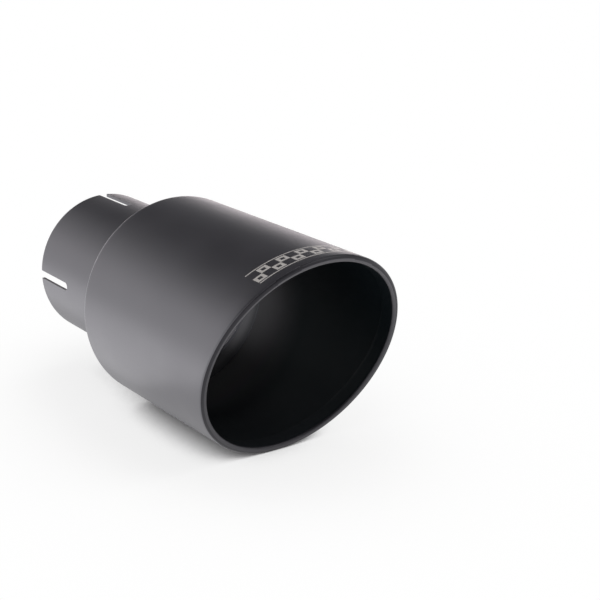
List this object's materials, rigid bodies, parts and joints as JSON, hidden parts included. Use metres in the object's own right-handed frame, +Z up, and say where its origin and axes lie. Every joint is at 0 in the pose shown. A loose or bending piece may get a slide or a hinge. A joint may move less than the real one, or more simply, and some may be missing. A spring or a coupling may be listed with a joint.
{
  "type": "exhaust tip",
  "caption": "Slash-cut exhaust tip: a round sleeve with a folded rim and slanted mouth, on a slotted slip-on inlet pipe that a band clamp tightens onto a tailpipe.",
  "frame": {"origin": "centre of the inlet pipe's open end, on the tip's axis", "axes": "+X along the axis towards the mouth, +Z up on the long side of the slash as fitted, +Y to the left looking along +X"},
  "size_m": [0.1993, 0.1, 0.1],
  "materials": {
    "sleeve_coating": "satin black ceramic coating on stainless steel",
    "pipe_coating": "satin black ceramic coating on stainless steel",
    "weld_coating": "satin black ceramic coating over a rippled weld"
  },
  "bodies": {
    "root": {"outer_sleeve": "sleeve_coating", "rear_cap": "sleeve_coating", "inlet_pipe": "pipe_coating", "weld_bead": "weld_coating"}
  },
  "joints": []
}
